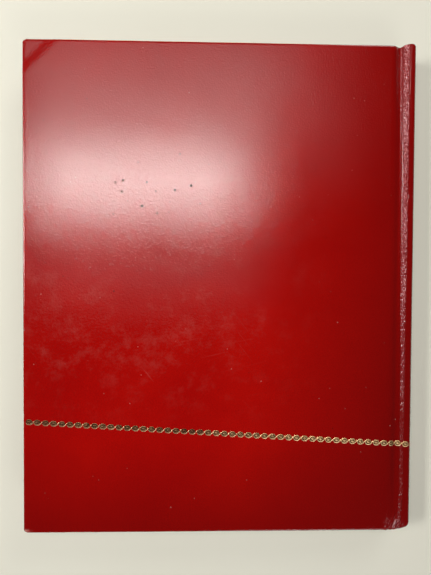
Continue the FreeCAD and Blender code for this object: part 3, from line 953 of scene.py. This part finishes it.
CLOTH_ROWS = 30
CLOTH_HALF = 0.13
CLOTH_WAVE = 0.04
GRIP_HALF = 0.41


def ribbon(name, path, wave, seed):
    """Strip of cloth as long as a leaf, with a section given as points and half thicknesses."""
    loop = [(x, z + h) for x, z, h in path] + [(x, z - h) for x, z, h in reversed(path)]
    points = []
    for r in range(CLOTH_ROWS + 1):
        y = Y_LEAF_TAIL + (Y_LEAF_HEAD - Y_LEAF_TAIL) * r / CLOTH_ROWS
        points += [(x, y, z + wave * wander(y / 14.0, x / 6.0, seed)) for x, z in loop]
    return piece(name, points, tube_faces(CLOTH_ROWS, len(loop)), BLACK_CLOTH)


def build_linen(number):
    """Two lengths of cloth: one by the stub, one reaching the card that it grips."""
    z = leaf_z(number)
    middle = (X_STUB_HINGE + X_CARD_HINGE) / 2
    near = [(X_STUB_FRONT + (middle - X_STUB_FRONT) * i / 10, z, CLOTH_HALF) for i in range(11)]
    inner = ribbon("linen_stub_%d" % number, near, CLOTH_WAVE, number)
    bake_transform(inner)
    far = [(middle + (X_CARD_HINGE + 0.6 - middle) * i / 8, z, CLOTH_HALF) for i in range(9)]
    far += [(X_CARD_HINGE + 0.2, z, 0.16), (X_CARD_EDGE, z, 0.36), (X_CARD_EDGE - 0.4, z, GRIP_HALF),
            (X_CARD_EDGE - 4.2, z, GRIP_HALF), (X_CARD_EDGE - 4.6, z, 0.31)]
    outer = ribbon("linen_leaf_%d" % number, far, 0.0, number)
    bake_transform(outer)
    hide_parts("leaf_%d_linen" % number)


SHEET_HALF = 0.04
SHEET_INSET = 0.8
SHEET_CORNER = 2.0
SHEET_WAVE = 0.10


def build_glassine(number):
    """Thin sheet with a faint ripple and trimmed fore corners."""
    z = leaf_z(number) + LEAF_PITCH / 2
    wide, tall = 24, 32
    x_fore = X_LEAF_FORE + SHEET_INSET
    middle = []
    for i in range(wide + 1):
        x = x_fore + (X_CARD_HINGE - x_fore) * i / wide
        for j in range(tall + 1):
            y = Y_LEAF_TAIL + (Y_LEAF_HEAD - Y_LEAF_TAIL) * j / tall
            trim = SHEET_CORNER if i == 0 and j in (0, tall) else 0.0
            lift = SHEET_WAVE * wander(x / 45.0, y / 45.0, number * 3.1)
            middle.append((x + trim, y, z + lift))
    row = tall + 1
    size = len(middle)
    points = [(x, y, h + SHEET_HALF) for x, y, h in middle]
    points += [(x, y, h - SHEET_HALF) for x, y, h in middle]
    quads = grid_faces(wide + 1, row)
    faces = quads + [tuple(size + v for v in reversed(q)) for q in quads]
    rim = [i * row for i in range(wide + 1)] + [wide * row + j for j in range(1, row)]
    rim += [i * row + tall for i in range(wide - 1, -1, -1)] + list(range(tall - 1, 0, -1))
    for k, a in enumerate(rim):
        b = rim[(k + 1) % len(rim)]
        faces.append((b, a, size + a, size + b))
    sheet = piece("glassine_%d" % number, points, faces, GLASSINE)
    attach(sheet, "interleaf_%d" % number)
    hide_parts("interleaf_%d" % number)


for number in range(1, LEAF_COUNT + 1):
    build_linen(number)
for number in range(1, LEAF_COUNT):
    build_glassine(number)

HALF_LINING = LINING / 2
LINING_ROWS = 40
LINING_RADIUS = 0.6


def build_lining():
    """Mull cloth wrapped round the back of the stubs with soft corners."""
    top = Z_INNER - HALF_LINING
    center = [(X_HINGE + 0.2, top), (X_STUB_BACK - LINING_RADIUS, top)]
    center += arc((X_STUB_BACK - 0.45, top - LINING_RADIUS), LINING_RADIUS, math.pi / 2, 0.0, 6)
    lower = [(x, ALBUM - z) for x, z in reversed(center)]
    line = center + lower
    left = []
    right = []
    for i, (x, z) in enumerate(line):
        xa, za = line[max(i - 1, 0)]
        xb, zb = line[min(i + 1, len(line) - 1)]
        d = math.hypot(xb - xa, zb - za)
        nx, nz = (zb - za) / d * HALF_LINING, -(xb - xa) / d * HALF_LINING
        left.append((x - nx, z - nz))
        right.append((x + nx, z + nz))
    loop = left + right[::-1]
    points = []
    for r in range(LINING_ROWS + 1):
        y = Y_LEAF_TAIL + (Y_LEAF_HEAD - Y_LEAF_TAIL) * r / LINING_ROWS
        points += [(x, y, z) for x, z in loop]
    faces = tube_faces(LINING_ROWS, len(loop), reverse=True)
    lining = piece("mull_lining", points, faces, MULL)
    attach(lining, "spine")
    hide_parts("spine_lining")


build_lining()


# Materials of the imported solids


def dress(material, *names):
    """Give CAD nodes a material."""
    for name in names:
        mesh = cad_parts[name].data
        mesh.materials.clear()
        mesh.materials.append(material)


leaves = range(1, LEAF_COUNT + 1)
dress(GREY_BOARD, "front_board", "back_board", "guard_stubs")
dress(ENDPAPER, "front_pastedown", "back_pastedown")
dress(STEEL, "guard_staples")
dress(BLACK_CARD, *["leaf_%d_card" % k for k in leaves])
dress(FILM, *["leaf_%d_strips" % k for k in leaves])
dress(RED, "front_covering", "back_covering", "spine_covering")
dress(GOLD, "front_chain", "back_chain", "spine_chain")
dress(BLACK_CLOTH, "spine_lining", *["leaf_%d_linen" % k for k in leaves])
dress(GLASSINE, *["interleaf_%d" % k for k in range(1, LEAF_COUNT)])


# Floor, light and camera


FLOOR_SIZE = 6.0
FLOOR_DROP = 0.0002
PANEL_HEIGHT = 1.22
FOCAL_PIXELS = 435.3
PICTURE_PIXELS = 575.0
SENSOR_HEIGHT = 24.0
CAMERA_AT = (-0.0103, 0.0064, 0.2906)
CAMERA_TURN = (-1.232, -1.345, 0.343)


def floor():
    """Plain cream table top."""
    bpy.ops.mesh.primitive_plane_add(size=FLOOR_SIZE, location=(0, 0, -FLOOR_DROP))
    obj = bpy.context.object
    obj.name = "floor"
    mat, shader = new_material("floor_cream", (0.68, 0.655, 0.55), 0.9)
    clouds = grain(mat, place(mat), 3.0, 2.0)
    tone = ramp(mat, clouds, [(0.3, (0.67, 0.645, 0.54)), (0.7, (0.70, 0.675, 0.57))])
    feed(mat, tone, shader, "Base Color")
    shader.inputs["Specular IOR Level"].default_value = 0.1
    obj.data.materials.append(mat)


def lamp(name, place_at, aim, width, depth, power):
    """Soft area lamp."""
    data = bpy.data.lights.new(name, "AREA")
    data.shape = "RECTANGLE"
    data.size = width
    data.size_y = depth
    data.energy = power
    obj = bpy.data.objects.new(name, data)
    obj.location = place_at
    obj.rotation_euler = (Vector(aim) - Vector(place_at)).to_track_quat("-Z", "Y").to_euler()
    bpy.context.scene.collection.objects.link(obj)


def panel(name, x, y, width, depth, power):
    """Lamp overhead that faces straight down and is mirrored in the cover."""
    lamp(name, (x, y, PANEL_HEIGHT), (x, y, 0.0), width, depth, power)


def camera():
    """Almost straight down on the cover from about 0.3 m, as a phone would be held."""
    data = bpy.data.cameras.new("camera")
    data.sensor_fit = "VERTICAL"
    data.sensor_height = SENSOR_HEIGHT
    data.lens = FOCAL_PIXELS / PICTURE_PIXELS * SENSOR_HEIGHT
    data.clip_start = 0.01
    obj = bpy.data.objects.new("camera", data)
    obj.location = CAMERA_AT
    obj.rotation_euler = [math.radians(v) for v in CAMERA_TURN]
    bpy.context.scene.collection.objects.link(obj)
    bpy.context.scene.camera = obj


floor()
panel("window", -0.245, 0.314, 0.71, 0.075, 6.4)
panel("window_top", -0.225, 0.457, 0.75, 0.13, 1.75)
panel("window_low", -0.24, 0.10, 0.73, 0.30, 0.6)
lamp("ceiling", (-0.18, 0.67, PANEL_HEIGHT), (-0.18, 0.62, 0.0), 0.88, 0.30, 2.1)
panel("side", 0.35, 0.58, 0.20, 0.44, 0.17)
lamp("left", (-1.0, 0.22, 1.0), (0.0, 0.0, 0.0), 0.5, 0.2, 10.5)
lamp("right", (0.9, 1.6, 1.0), (0.1, 0.0, 0.0), 0.8, 0.6, 9.0)
lamp("front", (0.7, -1.7, 1.1), (0.0, 0.0, 0.0), 1.2, 0.5, 9.5)
camera()
world = bpy.data.worlds.new("studio")
world.use_nodes = True
background = world.node_tree.nodes["Background"]
background.inputs["Color"].default_value = (0.95, 0.96, 1.0, 1.0)
background.inputs["Strength"].default_value = 0.04
bpy.context.scene.world = world
bpy.context.scene.view_settings.view_transform = "Standard"
